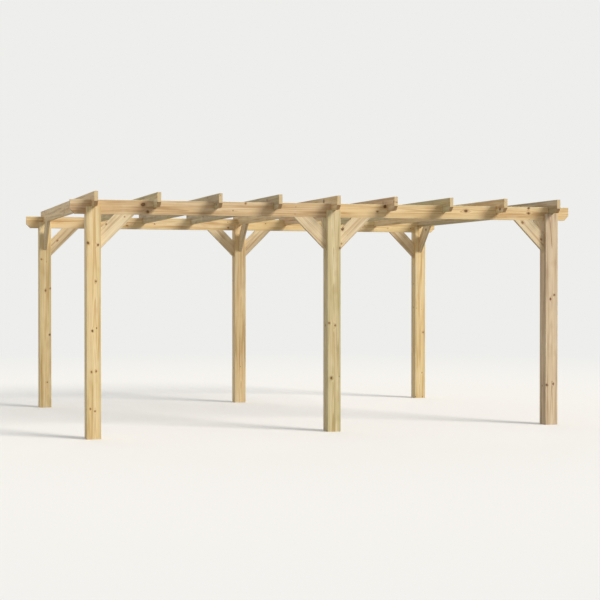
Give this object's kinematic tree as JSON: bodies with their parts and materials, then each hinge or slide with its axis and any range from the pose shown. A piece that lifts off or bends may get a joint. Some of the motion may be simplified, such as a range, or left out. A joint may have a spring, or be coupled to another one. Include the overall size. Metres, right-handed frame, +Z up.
{
  "type": "wooden garden pergola",
  "caption": "Free-standing open timber pergola: square slotted posts carry beams, with notched rafters across them and mitred knee braces, to shade a seating area.",
  "frame": {"origin": "on the ground at the middle of the plan, midway between the six posts", "axes": "+X along the beams, towards the right-hand end in the picture; +Y along the rafters, towards the rear; +Z up"},
  "size_m": [5.495, 4.305, 2.4625],
  "materials": {
    "post_timber": "planed pressure-treated softwood, matt, with knots and small drying checks",
    "beam_timber": "planed pressure-treated softwood, matt, flat-sawn grain along the board",
    "rafter_timber": "planed pressure-treated softwood, matt, flat-sawn grain along the board",
    "brace_timber": "planed pressure-treated softwood, matt, grain along the brace, mitred ends",
    "fixing_steel": "small countersunk wood screws, dull galvanised steel, in the visual model only"
  },
  "bodies": {
    "root": {"post_front_left": "post_timber", "post_front_middle": "post_timber", "post_front_right": "post_timber", "post_rear_left": "post_timber", "post_rear_middle": "post_timber", "post_rear_right": "post_timber", "beam_front_left": "beam_timber", "beam_front_right": "beam_timber", "beam_rear_left": "beam_timber", "beam_rear_right": "beam_timber", "rafter_1": "rafter_timber", "rafter_2": "rafter_timber", "rafter_3": "rafter_timber", "rafter_4": "rafter_timber", "rafter_5": "rafter_timber", "rafter_6": "rafter_timber", "rafter_7": "rafter_timber", "rafter_8": "rafter_timber", "rafter_9": "rafter_timber", "beam_brace_front_left_right": "brace_timber", "beam_brace_front_middle_left": "brace_timber", "beam_brace_front_middle_right": "brace_timber", "beam_brace_front_right_left": "brace_timber", "beam_brace_rear_left_right": "brace_timber", "beam_brace_rear_middle_left": "brace_timber", "beam_brace_rear_middle_right": "brace_timber", "beam_brace_rear_right_left": "brace_timber", "rafter_brace_front_left": "brace_timber", "rafter_brace_front_middle": "brace_timber", "rafter_brace_front_right": "brace_timber", "rafter_brace_rear_left": "brace_timber", "rafter_brace_rear_middle": "brace_timber", "rafter_brace_rear_right": "brace_timber"}
  },
  "joints": []
}
